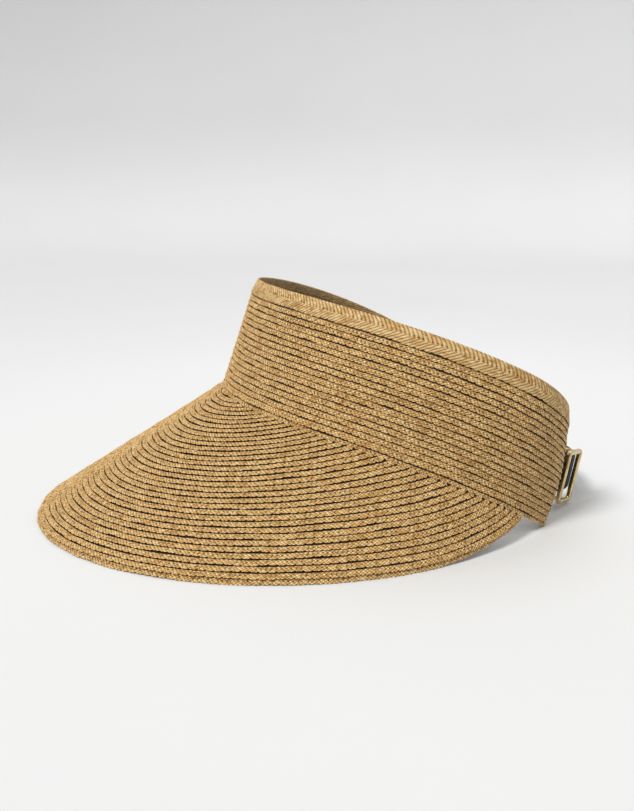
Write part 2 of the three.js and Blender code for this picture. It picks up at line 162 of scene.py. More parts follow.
def add(name, data):
    """A new object in the scene."""
    made = bpy.data.objects.new(name, data)
    bpy.context.scene.collection.objects.link(made)
    return made


def make_mesh(name, points, faces, material, attributes=None):
    """One piece from its points, its quads (and end polygons), and named values at each point."""
    mesh = bpy.data.meshes.new(name)
    mesh.from_pydata(in_metres(points).tolist(), [], faces)
    for key, values in (attributes or {}).items():
        layer = mesh.attributes.new(key, "FLOAT_VECTOR", "POINT")
        layer.data.foreach_set("vector", np.asarray(values, np.float32).ravel())
    mesh.polygons.foreach_set("use_smooth", [True] * len(mesh.polygons))
    mesh.materials.append(material)
    mesh.validate()
    return add(name, mesh)


def tube_faces(stations, ring, closed=False):
    """Quads between neighbouring rings of a tube; a closed tube's last ring joins its first."""
    rows = stations if closed else stations - 1
    i, j = np.meshgrid(np.arange(rows), np.arange(ring), indexing="ij")
    a = i * ring + j
    b = i * ring + (j + 1) % ring
    c = ((i + 1) % stations) * ring + (j + 1) % ring
    d = ((i + 1) % stations) * ring + j
    return np.stack([a, b, c, d], -1).reshape(-1, 4)


def signed_volume(points, quads):
    """Six times the volume that the quads enclose: the sum of corner . (corner x corner)."""
    p = points[quads]
    return sum(np.einsum("ij,ij->", p[:, 0], np.cross(p[:, k], p[:, k + 1])) for k in (1, 2))


def skin(rings, closed=False):
    """Points and outward faces of a closed skin over an array of rings (stations, points round, xyz).
    An open run of rings gets flat ends."""
    stations, ring = rings.shape[:2]
    points = rings.reshape(-1, 3)
    quads = tube_faces(stations, ring, closed)
    ends = [] if closed else [
        list(range(ring))[::-1],
        list(range((stations - 1) * ring, stations * ring)),
    ]
    if signed_volume(points, quads) < 0:
        quads = quads[:, ::-1]
        ends = [end[::-1] for end in ends]
    return points, quads.tolist() + ends


def tube(name, rings, material, attributes=None, closed=False):
    """One piece: the skin over its rings."""
    points, faces = skin(rings, closed)
    return make_mesh(name, points, faces, material, attributes)


def rounded(wave, power):
    """A sine or cosine made squarer by a power below 1: its sign times |wave|^power."""
    return np.sign(wave) * np.abs(wave) ** power


def unit(vectors):
    """Vectors divided by their lengths."""
    return vectors / np.linalg.norm(vectors, axis=-1, keepdims=True)


# ---------------------------------------------------------------- the band's surface

def leaned(points):
    """Turned about X, so that the band's axis leans back."""
    x, y, z = np.moveaxis(points, -1, 0)
    c, s = math.cos(BAND_LEAN), math.sin(BAND_LEAN)
    return np.stack([x, y * c + z * s, z * c - y * s], -1)


def band_local(height, angle, out):
    """Egg-shaped tube: half-axes that grow with the height over a saddle-shaped seam, then along the
    plan normal by the distance out."""
    height, angle, out = np.broadcast_arrays(height, angle, out)
    a = np.radians(angle)
    up = height - SADDLE * np.cos(2 * a)
    wide = BAND_HALF_WIDTH + WIDTH_FLARE * up
    front = np.abs(angle) < 90
    long = np.where(front, BAND_FRONT + FRONT_FLARE * up, BAND_REAR + REAR_FLARE * up)
    nx, ny = np.sin(a) / wide, -np.cos(a) / long
    n = np.hypot(nx, ny)
    return np.stack([wide * np.sin(a) + nx / n * out, -long * np.cos(a) + ny / n * out, up], -1)


def stand_off(pitch, clearance):
    """How far a lapped row's lower edge stands off, so that the next row passes under it."""
    return (BRAID + clearance) * (pitch + LAP) / pitch


BAND_STAND = stand_off(BAND_PITCH, GAP)
BAND_CENTRE_Z = -leaned(band_local(-LAP, END_LOWER, BAND_STAND + BRAID))[2]


def band_point(height, angle, out):
    """A point of the band in the plan: leaned, moved back to its centre and down onto the table."""
    return leaned(band_local(height, angle, out)) + [0, BAND_CENTRE_Y, BAND_CENTRE_Z]


def band_end(height):
    """The angle at which the band ends: it grows evenly from the seam to the top rim."""
    share = np.clip(np.asarray(height, float) / BAND_HEIGHT, 0, 1)
    return END_LOWER + (END_UPPER - END_LOWER) * share


# ---------------------------------------------------------------- the brim's surface

EDGE_RATIO = BRIM_HALF_WIDTH / BRIM_HALF_LENGTH


def brim_rulings():
    """The brim as straight rulings that point at one upright line: for each bearing its lower end on
    the oval edge, its direction, length and normal, and the band angle at its upper end."""
    angle = np.linspace(0, 127, 5001)
    top = band_point(-2 * LAP, angle, BRAID)
    bearing = np.degrees(np.arctan2(top[:, 0], RULING_CENTRE_Y - top[:, 1]))
    beyond = np.hypot(top[:, 0], top[:, 1] * EDGE_RATIO) - BRIM_HALF_WIDTH
    tip = np.flatnonzero((beyond > 0) & (angle > 80))[0]
    tip_round = math.atan2(top[tip, 0], -top[tip, 1])
    reach = bearing[tip] - 0.3
    at = np.linspace(-reach, reach, 3001)
    band_angle = np.interp(np.abs(at), bearing, angle) * np.sign(at)
    head = band_point(-2 * LAP, band_angle, BRAID)
    s, c = np.sin(np.radians(at)), -np.cos(np.radians(at))
    a = s * s + (c * EDGE_RATIO) ** 2
    b = RULING_CENTRE_Y * c * EDGE_RATIO ** 2
    d = (RULING_CENTRE_Y * EDGE_RATIO) ** 2 - BRIM_HALF_WIDTH ** 2
    far = (-b + np.sqrt(b * b - a * d)) / a
    x, y = s * far, RULING_CENTRE_Y + c * far
    start = math.radians(TIP_LIFT_START)
    rise = np.clip((np.abs(np.arctan2(x, -y)) - start) / (tip_round - start), 0, 1)
    foot = np.stack([x, y, top[tip, 2] * rise ** 2], -1)
    length = np.linalg.norm(head - foot, axis=1)
    along = unit(head - foot)
    flat_round = np.stack([-c, s, np.zeros_like(s)], -1)
    normal = unit(np.cross(flat_round, along))
    return {"at": at, "foot": foot, "along": along, "length": length, "normal": normal,
            "angle": band_angle}


RULINGS = brim_rulings()


def ruling_value(key, at):
    """A ruling's value at bearings between the worked-out ones."""
    values = RULINGS[key]
    if values.ndim == 1:
        return np.interp(at, RULINGS["at"], values)
    return np.stack([np.interp(at, RULINGS["at"], values[:, k]) for k in range(3)], -1)


def brim_point(distance, bearing, out):
    """A point at a distance up its ruling and a distance off the surface. Past the ruling's end it
    turns up along the band and dives under the seam braid."""
    distance, bearing, out = np.broadcast_arrays(distance, bearing, out)
    length = ruling_value("length", bearing)
    normal = ruling_value("normal", bearing)
    on = np.minimum(distance, length)
    point = ruling_value("foot", bearing) + ruling_value("along", bearing) * on[..., None]
    past = np.clip(distance - length, 0, SEAM_TUCK)
    angle = ruling_value("angle", bearing)
    base = band_point(-2 * LAP, angle, BRAID)
    turned = band_point(-2 * LAP + past, angle, BRAID - 0.75 * past)
    return point + (turned - base) + normal * (out * (1 - 0.3 * past / SEAM_TUCK))[..., None]


# ---------------------------------------------------------------- braid

OUTER = np.array([0, 0.03, 0.1, 0.19, 0.28, 0.37, 0.46, 0.55, 0.64, 0.73, 0.82, 0.91, 0.97, 1])
INNER = np.array([0.92, 0.7, 0.45, 0.2, 0.03])
ACROSS = np.concatenate([OUTER, INNER])
FACE = np.concatenate([np.ones(len(OUTER)), -np.ones(len(INNER))])


def strands(along, across, wide=False):
    """Phases of the two families of strands that cross in a plait. The wide braid has one family,
    folded at its middle line, which gives its row of arrowheads."""
    if wide:
        folded = np.abs(across - (TOP_BRAID + LAP) / 2 - 0.5)
        return along / WIDE_STRAND + folded / WIDE_RISE, np.full_like(along, 0.5)
    return along / STRAND + across / STRAND_RISE, along / STRAND - across / STRAND_RISE


def plait_rings(place, param, along, low, high, stand, number, wide=False):
    """Rings of one lapped row. Across, the section runs from the free lower edge, f = 0, to the tucked
    upper one, f = 1: out = stand (1 - f) + half the braid (1 + side x bulge) + relief + swell + pressed.
    Bulge is the root of 1 - |2f - 1|^3. The relief is a dome over each crossing, |sin a sin b|^0.6.
    Pressed grows from 0 at f = 0.6 to SEAL at 0.9 and closes the lap. The free edge swings in lobes,
    |sin|^0.7 of the length, each of its own size. The shade value is painted shade for the finish: 1 just
    under the free edge, 0.55 on the rest of the inner face, 0 outside."""
    high = high + TUCK
    width = high - low + LAP
    across = ACROSS[None, :] * width
    s = along[:, None] + 0 * across
    y = across + 0 * s
    woven = s + ROW_OFFSET * number
    a, b = strands(woven, y, wide)
    dome = np.abs(np.sin(math.pi * a) * np.sin(math.pi * b)) ** 0.6
    f = y / width
    bulge = np.sqrt(np.clip(1 - np.abs(2 * f - 1) ** 3, 0, 1))
    rng = np.random.default_rng(100 + number)
    knots = max(6, int((s.max() - s.min()) / KNOT_SPACING))
    places = np.linspace(s.min(), s.max(), knots)
    drift = np.interp(s, places, rng.normal(0, DRIFT, knots))
    swell = np.interp(s, places, rng.normal(0, SWELL, knots))
    turns = woven / (2 * STRAND)
    lobe_size = 0.7 + 0.6 * rng.random(LOBES)[turns.astype(int) % LOBES]
    lobe = np.abs(np.sin(math.pi * turns)) ** 0.7 * lobe_size
    scallop = SCALLOP * lobe * (1 - f) ** 2
    relief = np.where(FACE > 0, RELIEF * (dome - 0.55) * np.sqrt(bulge), 0)
    pressed = SEAL * np.clip((f - 0.6) / 0.3, 0, 1)
    out = stand * (1 - f) + BRAID / 2 * (1 + FACE * bulge) + relief + swell * (1 - f) + pressed
    height = low - LAP + y - scallop + drift * (1 - f)
    rings = place(height, param[:, None], out)
    pattern = np.stack([woven, y, np.full_like(s, number)], -1)
    # Painted shade: the inner faces are coloured darker, fully just under the free edge, for the shade
    # that falls there.
    inside = np.where(ACROSS < LAP_SHARE, PAINTED_LAP_SHADE, PAINTED_INNER_SHADE)
    painted_shade_value = np.broadcast_to(np.where(FACE > 0, 0.0, inside), s.shape)
    shade = np.stack([painted_shade_value, 0 * s, 0 * s], -1)
    return rings, {"plait": pattern, "shade": shade}


def row_arc(point_at, low_param, high_param):
    """Parameters at even steps of arc length between two of them, and the arc length at each."""
    fine = np.linspace(low_param, high_param, 2400)
    points = point_at(fine)
    arc = np.concatenate([[0], np.cumsum(np.linalg.norm(np.diff(points, axis=0), axis=1))])
    steps = np.arange(0, arc[-1], STATION)
    steps = np.append(steps[:-1], arc[-1])
    return np.interp(steps, arc, fine), steps


def band_rows():
    """Name, lower and upper height, and number of each row from the seam up."""
    names = [("seam_braid_lower", SEAM_LOWER), ("seam_braid_upper", SEAM_UPPER)]
    names += [(f"band_row_{i:02d}", BAND_PITCH) for i in range(BAND_ROWS, 0, -1)]
    names += [("top_edge_braid", TOP_BRAID)]
    low = 0
    for number, (name, height) in enumerate(names):
        yield name, low, low + height, number + 50
        low += height


def turned_in(side):
    """Places points on one half of the band. The parameter is the share of the way to the slanted
    end; past 1 it counts millimetres of the turn, a quarter circle and a short straight run in."""
    def place(height, share, out):
        height, share, out = np.broadcast_arrays(height, share, out)
        end = band_end(height)
        angle = side * end * np.minimum(share, 1)
        past = np.maximum(share - 1, 0)
        turn = np.clip(past / END_BEND, 0, math.pi / 2)
        straight = np.maximum(past - END_BEND * math.pi / 2, 0)
        flat = band_point(height, angle, out)
        centre = band_point(height, angle, -END_BEND)
        outward = unit(band_point(height, angle, out + 1) - centre)
        ahead = unit(band_point(height, angle + side * 0.05, -END_BEND) - centre)
        arm = (END_BEND + out)[..., None]
        bent = centre + arm * (np.cos(turn)[..., None] * outward + np.sin(turn)[..., None] * ahead)
        bent = bent - straight[..., None] * outward
        return np.where((share > 1)[..., None], bent, flat)
    return place


def build_band():
    """The rows of the band in a left and a right half, which meet at the front."""
    own = {"top_edge_braid": STRAW_RIM, "seam_braid_upper": STRAW_SEAM, "seam_braid_lower": STRAW_FOOT}
    for name, low, high, number in band_rows():
        middle = (low + high) / 2
        wide = name == "top_edge_braid"
        material = own.get(name, STRAW)
        for side_name, side in SIDES.items():
            end = float(band_end(middle))
            share, along = row_arc(lambda t: band_point(middle, side * end * t, BRAID), 0, 1)
            bend = np.arange(1, 5) * 0.3
            share = np.append(share, 1 + bend)
            along = np.append(along, along[-1] + bend)
            rings, patterns = plait_rings(turned_in(side), share, side * along, low, high,
                                          stand_off(BAND_PITCH, SEWN), number, wide)
            piece = tube(f"{name}_{side_name}", rings, material, patterns)
            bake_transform(piece)
            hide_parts(name, f"{side_name}_wing_rows")


def build_brim():
    """Rows parallel to the outer edge. Each laps over the row outside it and ends under the seam."""
    stand = stand_off(BRIM_PITCH, SEWN)
    for row in range(BRIM_ROWS):
        low, high = row * BRIM_PITCH, (row + 1) * BRIM_PITCH
        free = low - LAP + SHORTEST_END
        if row == 0:
            low, free = LAP, SHORTEST_END
        open_at = RULINGS["at"][RULINGS["length"] > free]
        middle = (low + high) / 2
        bearing, along = row_arc(lambda t: brim_point(middle, t, 0), open_at[0], open_at[-1])
        along = along - along[-1] / 2
        rings, patterns = plait_rings(brim_point, bearing, along, low, high,
                                      stand if row else EDGE_STAND, row)
        piece = tube(f"brim_row_{row + 1:02d}", rings, STRAW_BRIM, patterns)
        first = row // 2 * 2 + 1
        course = f"brim_rows_{first:02d}_{first + 1:02d}"
        if course in frame["nodes"]:
            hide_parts(course)
        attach(piece, "root")


# ---------------------------------------------------------------- tapes inside the band

def tape_section(low, high, near, far, count=24):
    """A flat oval of even thickness with round edges: heights and distances out, once round."""
    half, middle = (high - low) / 2, (high + low) / 2
    t = np.linspace(0, 2 * math.pi, 2 * count, endpoint=False)
    x = rounded(np.cos(t), 2 / 7)
    y = rounded(np.sin(t), 0.9)
    return middle + half * x, (near + far) / 2 + (near - far) / 2 * y


def band_tape(name, node, section, start, end, material, body, waves=0.12):
    """A tape on the inside of the band between two angles, slightly wavy along its length."""
    height, out = section
    angle, along = row_arc(lambda t: band_point(height.mean(), t, out.mean()), start, end)
    angle, along = angle[::3], along[::3]
    ripple = waves * np.sin(along / 5.3) * np.sin(along / 17.0)
    rings = band_point(height[None, :], angle[:, None], out[None, :] + ripple[:, None])
    pattern = np.stack(np.broadcast_arrays(along[:, None], height[None, :], out[None, :]), -1)
    piece = tube(name, rings, material, {"weave": pattern})
    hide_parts(node)
    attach(piece, body)
    return piece


def build_tapes():
    """The sweatband, the seam tape and the two end tapes."""
    low = SEAM_TAPE_HEIGHT / 2 + GAP
    inner = -TAPE_GAP - TAPE
    sweat = tape_section(low, low + SWEATBAND_HEIGHT, -TAPE_GAP, inner)
    band_tape("sweatband_cloth", "sweatband", sweat, -SWEATBAND_END, SWEATBAND_END, COTTON,
              "root")
    seam = tape_section(-SEAM_TAPE_HEIGHT / 2, SEAM_TAPE_HEIGHT / 2, -TAPE_GAP, inner, 12)
    band_tape("seam_tape_cloth", "inner_seam_tape", seam, -SWEATBAND_END, SWEATBAND_END, SEAM_COTTON,
              "root")
    for side_name, side in SIDES.items():
        end_binding(side_name, side)


def end_binding(side_name, side):
    """The tape over the turned-in row ends: it follows the slanted end of the band."""
    height = np.linspace(END_MARGIN, BAND_HEIGHT - END_MARGIN, 110)
    t = np.linspace(0, 2 * math.pi, 28, endpoint=False)
    across = rounded(np.cos(t), 0.3)
    out = -TAPE_GAP - TAPE / 2 + TAPE / 2 * np.sin(t)
    half = END_TAPE / 2 / MM_PER_DEGREE
    angle = band_end(height)[:, None] - END_TRIM - half + across[None, :] * half
    rings = band_point(height[:, None], side * angle, out[None, :])
    pattern = np.stack(np.broadcast_arrays(height[:, None], across[None, :] * END_TAPE / 2,
                                           out[None, :]), -1)
    piece = tube(f"{side_name}_end_tape", rings, SEAM_COTTON, {"weave": pattern})
    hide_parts(f"{side_name}_end_binding")
    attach(piece, f"{side_name}_wing")


# ---------------------------------------------------------------- strap, tab and buckle

CLOSURE_Y = HINGE_Y - (HINGE_Z - CLOSURE_Z) * math.tan(HINGE_LEAN)


def closure_point(x, y, z):
    """From the closure's own frame (across, back, along the hinge lines) to the plan."""
    x, y, z = np.broadcast_arrays(x, y, z)
    c, s = math.cos(HINGE_LEAN), math.sin(HINGE_LEAN)
    return np.stack([x, CLOSURE_Y + y * c + z * s, CLOSURE_Z - y * s + z * c], -1)


def to_closure(points):
    """From the plan to the closure's own frame: the turn of closure_point, undone."""
    x, y, z = np.moveaxis(points - [0, CLOSURE_Y, CLOSURE_Z], -1, 0)
    c, s = math.cos(HINGE_LEAN), math.sin(HINGE_LEAN)
    return np.stack([x, y * c - z * s, y * s + z * c], -1)


def polar(radius, degrees):
    """A flat point by its distance from the closure's axis and its angle from straight back, which
    grows towards the wearer's left."""
    a = np.radians(degrees)
    return np.stack([radius * np.sin(a), radius * np.cos(a)], -1)


def wall_radius(degrees, width, thickness):
    """Distance from the closure's axis to a strap's middle where it lies on the end tape: the smallest
    radius of the band's inner face over the strap's width, less the tape, the gaps and half the strap."""
    degrees = np.abs(np.atleast_1d(degrees))
    angles = np.linspace(95, 165, 281)
    heights = np.linspace(-10, 90, 401)
    grid = to_closure(band_point(heights[None, :], angles[:, None], 0))
    radii = []
    for level in (-width / 2, 0, width / 2):
        row = [[np.interp(level, g[:, 2], g[:, k]) for k in (0, 1)] for g in grid]
        x, y = np.array(row).T
        turn = np.degrees(np.arctan2(x, y))
        radii.append(np.interp(degrees, turn[::-1], np.hypot(x, y)[::-1]))
    return np.min(radii, axis=0) - TAPE_GAP - TAPE - WALL_GAP - thickness / 2


def smooth_path(points, step=0.5, rounds=60):
    """Even steps along a polyline, then evened out by averaging neighbours with the ends held."""
    points = np.asarray(points, float)
    arc = np.concatenate([[0], np.cumsum(np.linalg.norm(np.diff(points, axis=0), axis=1))])
    at = np.linspace(0, arc[-1], int(arc[-1] / step) + 1)
    path = np.stack([np.interp(at, arc, points[:, k]) for k in (0, 1)], -1)
    for _ in range(rounds):
        path[1:-1] = (path[:-2] + 2 * path[1:-1] + path[2:]) / 4
    return path


def left_normal(path):
    """Unit normals of a flat path, to the left of the way it runs."""
    ahead = unit(np.gradient(path, axis=0))
    return np.stack([-ahead[:, 1], ahead[:, 0]], -1)


def webbing_strip(name, path, width, thickness, material):
    """A strip of webbing on edge along a flat path: a rounded flat section with a raised edge cord on
    both sides, |w|^12 of it, and fine ribs across, sin of the length."""
    t = np.linspace(0, 2 * math.pi, 44, endpoint=False)
    w = rounded(np.cos(t), 0.22)
    side = rounded(np.sin(t), 0.6)
    arc = np.arange(len(path)) * np.linalg.norm(path[1] - path[0])
    rib = 0.035 * np.sin(2 * math.pi * arc / 1.3)[:, None]
    depth = thickness / 2 * side[None, :] * (0.86 + 0.1 * np.abs(w) ** 12)[None, :] + rib * side
    normal = left_normal(path)
    x = path[:, :1] + normal[:, :1] * depth
    y = path[:, 1:] + normal[:, 1:] * depth
    rings = closure_point(x, y, (w * width / 2)[None, :])
    pattern = np.stack(np.broadcast_arrays(arc[:, None], (w * width / 2)[None, :], depth), -1)
    return tube(name, rings, material, {"weave": pattern})


def strap_path():
    """The strap's middle line: along the right end tape, then on a circle about the closure's axis."""
    sewn = np.linspace(STRAP_ROOT, STRAP_SEWN, 5)
    free = np.linspace(STRAP_LEAVES, STRAP_TAIL, 60)
    wall = wall_radius(sewn, STRAP_WIDTH, STRAP)
    return smooth_path(np.concatenate([polar(wall, sewn), polar(STRAP_RADIUS, free)]))


def stitch(start, end, lift, radius=0.22):
    """One stitch: a thread from start to end that rises by lift in the middle, 9 rings of 6 points."""
    t = np.linspace(0, 1, 9)[:, None]
    centre = start + (end - start) * t + lift * np.sin(math.pi * t) ** 0.7
    ahead = unit(end - start)
    up = unit(lift)
    across = np.cross(ahead, up)
    turn = np.linspace(0, 2 * math.pi, 6, endpoint=False)
    round_it = radius * (np.cos(turn)[:, None] * across + np.sin(turn)[:, None] * up)
    taper = np.sqrt(np.clip(1 - np.abs(2 * t - 1) ** 6, 0.05, 1))
    return centre[:, None, :] + round_it[None] * taper[:, :, None]


def join_tubes(name, tubes, material):
    """Many small tubes as one piece."""
    points, faces = [], []
    start = 0
    for rings in tubes:
        own_points, own_faces = skin(rings)
        faces += [[corner + start for corner in face] for face in own_faces]
        points.append(own_points)
        start += len(own_points)
    return make_mesh(name, np.concatenate(points), faces, material)


def box_stitching(name, path, height, inset, material):
    """Stitches round a rectangle and along its two diagonals, on the inner face of a sewn strap.
    The path is the strap's middle line there, in the closure's plane."""
    normal = left_normal(path)
    side = 1 if (normal * path).sum() < 0 else -1
    arc = np.linspace(0, 1, len(path))

    def on_face(share, level, out=0.0):
        x = np.interp(share, arc, path[:, 0] + side * normal[:, 0] * (inset + out))
        y = np.interp(share, arc, path[:, 1] + side * normal[:, 1] * (inset + out))
        return closure_point(x, y, level)

    half = height / 2
    corners = [(0, -half), (1, -half), (1, half), (0, half), (0, -half)]
    lines = list(zip(corners[:-1], corners[1:])) + [(corners[0], corners[2]), (corners[1], corners[3])]
    tubes = []
    for (s0, z0), (s1, z1) in lines:
        length = np.linalg.norm(on_face(s1, z1) - on_face(s0, z0))
        count = max(2, round(length / STITCH))
        for i in range(count):
            a, b = (i + 0.12) / count, (i + 0.88) / count
            start = on_face(s0 + (s1 - s0) * a, z0 + (z1 - z0) * a)
            end = on_face(s0 + (s1 - s0) * b, z0 + (z1 - z0) * b)
            lift = on_face((s0 + s1) / 2, 0, 0.25) - on_face((s0 + s1) / 2, 0)
            tubes.append(stitch(start, end, lift))
    return join_tubes(name, tubes, material)


EYE = math.hypot(CENTRE_BAR, CENTRE_BAR) / 2 + PIVOT_CLEARANCE
PIVOT_RADIUS = STRAP_RADIUS - STRAP / 2 - STRAP_CLEARANCE - TAB - EYE
PIVOT = polar(PIVOT_RADIUS, BUCKLE_ANGLE)


def build_strap():
    """The strap from its sewn end through the buckle, and the stitching that holds it."""
    path = strap_path()
    strap = webbing_strip("strap_webbing", path, STRAP_WIDTH, STRAP, WEBBING)
    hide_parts("strap")
    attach(strap, "right_wing")
    sewn = np.linspace(STRAP_ROOT + 1.5, STRAP_SEWN - 0.5, 12)
    line = polar(wall_radius(sewn, STRAP_WIDTH, STRAP), sewn)
    thread = box_stitching("strap_thread", line, STRAP_WIDTH - 4, STRAP / 2 + 0.05, THREAD)
    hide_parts("strap_stitching")
    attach(thread, "right_wing")


def build_tab():
    """The tab: once round the centre bar as a loop, then double along the inside of the band."""
    tangent = polar(1.0, BUCKLE_ANGLE + 90)
    facing = math.atan2(tangent[1], tangent[0])
    ring = EYE + TAB / 2
    turn = np.linspace(facing + 0.45, facing + 2 * math.pi - 0.45, 60)
    loop = PIVOT + ring * np.stack([np.cos(turn), np.sin(turn)], -1)
    across = np.linspace(BUCKLE_ANGLE + 6, TAB_CROSSES, 14)
    sewn = np.linspace(TAB_SEWN, TAB_END, 6)
    back = smooth_path(np.concatenate([
        polar(PIVOT_RADIUS, across), polar(wall_radius(sewn, TAB_WIDTH, TAB), sewn)]), 0.5, 20)
    normal = left_normal(back) * TAB / 2 * 1.04
    upper, lower = back + normal, back - normal
    if np.linalg.norm(loop[0] - upper[0]) > np.linalg.norm(loop[0] - lower[0]):
        upper, lower = lower, upper
    folded = np.concatenate([upper[::-1], loop, lower])
    tab = webbing_strip("keeper_tab_webbing", smooth_path(folded, 0.4, 3), TAB_WIDTH, TAB, WEBBING)
    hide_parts("keeper_tab")
    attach(tab, "left_wing")
    line_at = np.linspace(TAB_SEWN + 0.5, TAB_END - 1, 10)
    line = polar(wall_radius(line_at, TAB_WIDTH, TAB), line_at)
    thread = box_stitching("tab_thread", line, TAB_WIDTH - 3, TAB + 0.08, THREAD)
    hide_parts("tab_stitching")
    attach(thread, "left_wing")


def buckle_point(x, y, z):
    """From the buckle's frame (round the head, up, away from the head) to the plan."""
    x, y, z = np.broadcast_arrays(x, y, z)
    across = polar(1.0, BUCKLE_ANGLE - 90)
    outward = polar(1.0, BUCKLE_ANGLE)
    flat = PIVOT + x[..., None] * across + z[..., None] * outward
    return closure_point(flat[..., 0], flat[..., 1], y)


def rounded_rectangle(width, height, corner, count=14):
    """Once round: four quarter circles joined by straight runs, each run in even steps."""
    x, y = width / 2 - corner, height / 2 - corner
    quarter = np.linspace(0, math.pi / 2, count)
    points = []
    for k, (cx, cy) in enumerate([(x, y), (-x, y), (-x, -y), (x, -y)]):
        a = quarter + k * math.pi / 2
        points.append(np.stack([cx + corner * np.cos(a), cy + corner * np.sin(a)], -1))
    return np.concatenate(points)


def round_bar(path, half_wide, half_deep, power, closed):
    """A bar along a path in the buckle's plane: its section is the superellipse
    |u / half_wide|^p + |v / half_deep|^p = 1. Returns offsets in the plane and away from it."""
    t = np.linspace(0, 2 * math.pi, 28, endpoint=False)
    u = half_wide * rounded(np.cos(t), 2 / power)
    v = half_deep * rounded(np.sin(t), 2 / power)
    if closed:
        ahead = unit(np.roll(path, -1, axis=0) - np.roll(path, 1, axis=0))
    else:
        ahead = unit(np.gradient(path, axis=0))
    normal = np.stack([-ahead[:, 1], ahead[:, 0]], -1)
    plane = path[:, None, :] + normal[:, None, :] * u[None, :, None]
    return plane, np.broadcast_to(v, plane.shape[:2])


def build_buckle():
    """The gold frame, a bar bent to a rounded rectangle, and the centre bar that the tab holds."""
    reach = BUCKLE_WIDTH / 2 - BAR
    bow = STRAP_RADIUS - math.sqrt(STRAP_RADIUS ** 2 - reach ** 2)
    face = STRAP_RADIUS + STRAP / 2 + STRAP_CLEARANCE - bow - PIVOT_RADIUS
    outline = rounded_rectangle(BUCKLE_WIDTH - BAR, BUCKLE_HEIGHT - BAR, BUCKLE_CORNER - BAR / 2)
    plane, depth = round_bar(outline, BAR / 2, BUCKLE_THICKNESS / 2, 3.2, True)
    rings = buckle_point(plane[..., 0], plane[..., 1], face + BUCKLE_THICKNESS / 2 + depth)
    ring = tube("buckle_frame_gold", rings, GOLD, closed=True)
    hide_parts("buckle_frame")
    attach(ring, "buckle")
    # The centre bar's path in (up, away from the head): a leg, a bend, the bar, a bend, a leg.
    side = (BUCKLE_HEIGHT - BAR) / 2
    corner = 1.1
    bend = np.linspace(0, math.pi / 2, 9)
    first = np.stack([-side + corner * (1 - np.cos(bend)), corner * (1 - np.sin(bend))], -1)
    path = np.concatenate([[[-side, face - 0.1]], first, (first * [-1, 1])[::-1],
                           [[side, face - 0.1]]])
    plane, depth = round_bar(path, CENTRE_BAR / 2, CENTRE_BAR / 2, 2.2, False)
    rings = buckle_point(depth, plane[..., 0], plane[..., 1])
    bar = tube("buckle_centre_bar_gold", rings, GOLD)
    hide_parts("buckle_centre_bar")
    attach(bar, "buckle")


# ---------------------------------------------------------------- materials

class Finish:
    """A material under construction: short calls that add a node and give back its output."""

    def __init__(self, name, roughness, metallic=0.0, specular=0.5):
        self.material = bpy.data.materials.new(name)
        self.material.use_nodes = True
        self.tree = self.material.node_tree
        self.shader = self.tree.nodes["Principled BSDF"]
        self.shader.inputs["Roughness"].default_value = roughness
        self.shader.inputs["Metallic"].default_value = metallic
        self.shader.inputs["Specular IOR Level"].default_value = specular

    def node(self, kind, **settings):
        made = self.tree.nodes.new(kind)
        for key, value in settings.items():
            setattr(made, key, value)
        return made

    def plug(self, socket, value):
        if isinstance(value, bpy.types.NodeSocket):
            self.tree.links.new(value, socket)
        elif value is not None:
            socket.default_value = value

    def math(self, operation, a, b=None, clamp=False):
        made = self.node("ShaderNodeMath", operation=operation, use_clamp=clamp)
        self.plug(made.inputs[0], a)
        self.plug(made.inputs[1], b)
        return made.outputs[0]

    def parts(self, vector):
        """The three values of a vector."""
        made = self.node("ShaderNodeSeparateXYZ")
        self.plug(made.inputs[0], vector)
        return made.outputs

    def split(self, attribute):
        """The three values of a named attribute."""
        source = self.node("ShaderNodeAttribute", attribute_name=attribute)
        return self.parts(source.outputs["Vector"])

    def vector(self, x, y, z):
        made = self.node("ShaderNodeCombineXYZ")
        for socket, value in zip(made.inputs, (x, y, z)):
            self.plug(socket, value)
        return made.outputs[0]

    def noise(self, vector, scale, detail=2.0, rough=0.5):
        made = self.node("ShaderNodeTexNoise")
        self.plug(made.inputs["Vector"], vector)
        made.inputs["Scale"].default_value = scale
        made.inputs["Detail"].default_value = detail
        made.inputs["Roughness"].default_value = rough
        return made.outputs["Fac"]

    def random(self, vector):
        made = self.node("ShaderNodeTexWhiteNoise", noise_dimensions="3D")
        self.plug(made.inputs["Vector"], vector)
        return made.outputs["Value"]

    def ramp(self, value, stops):
        """A colour ramp from (position, linear colour) pairs."""
        made = self.node("ShaderNodeValToRGB")
        points = made.color_ramp.elements
        while len(points) < len(stops):
            points.new(0.5)
        for point, (position, colour) in zip(points, stops):
            point.position = position
            point.color = (*colour, 1)
        self.plug(made.inputs[0], value)
        return made.outputs[0]

    def mix(self, share, a, b, blend="MIX"):
        made = self.node("ShaderNodeMix", data_type="RGBA", blend_type=blend)
        self.plug(made.inputs[0], share)
        for socket, value in ((made.inputs[6], a), (made.inputs[7], b)):
            self.plug(socket, (*value, 1) if isinstance(value, tuple) else value)
        return made.outputs[2]

    def fit(self, value, low, high, to_low=0.0, to_high=1.0):
        made = self.node("ShaderNodeMapRange", interpolation_type="SMOOTHSTEP")
        for socket, number in zip(made.inputs, (value, low, high, to_low, to_high)):
            self.plug(socket, number)
        return made.outputs[0]

    def bump(self, height, distance, strength=1.0):
        made = self.node("ShaderNodeBump")
        made.inputs["Strength"].default_value = strength
        made.inputs["Distance"].default_value = distance
        self.plug(made.inputs["Height"], height)
        self.plug(self.shader.inputs["Normal"], made.outputs[0])

    def colour(self, value):
        self.plug(self.shader.inputs["Base Color"], value)

    def done(self):
        return self.material


RUSSET = (0.420, 0.165, 0.018)
# DEEP_BROWN is the colour that the straw's painted shade and painted shadow are mixed towards.
DEEP_BROWN = (0.016, 0.005, 0.0015)


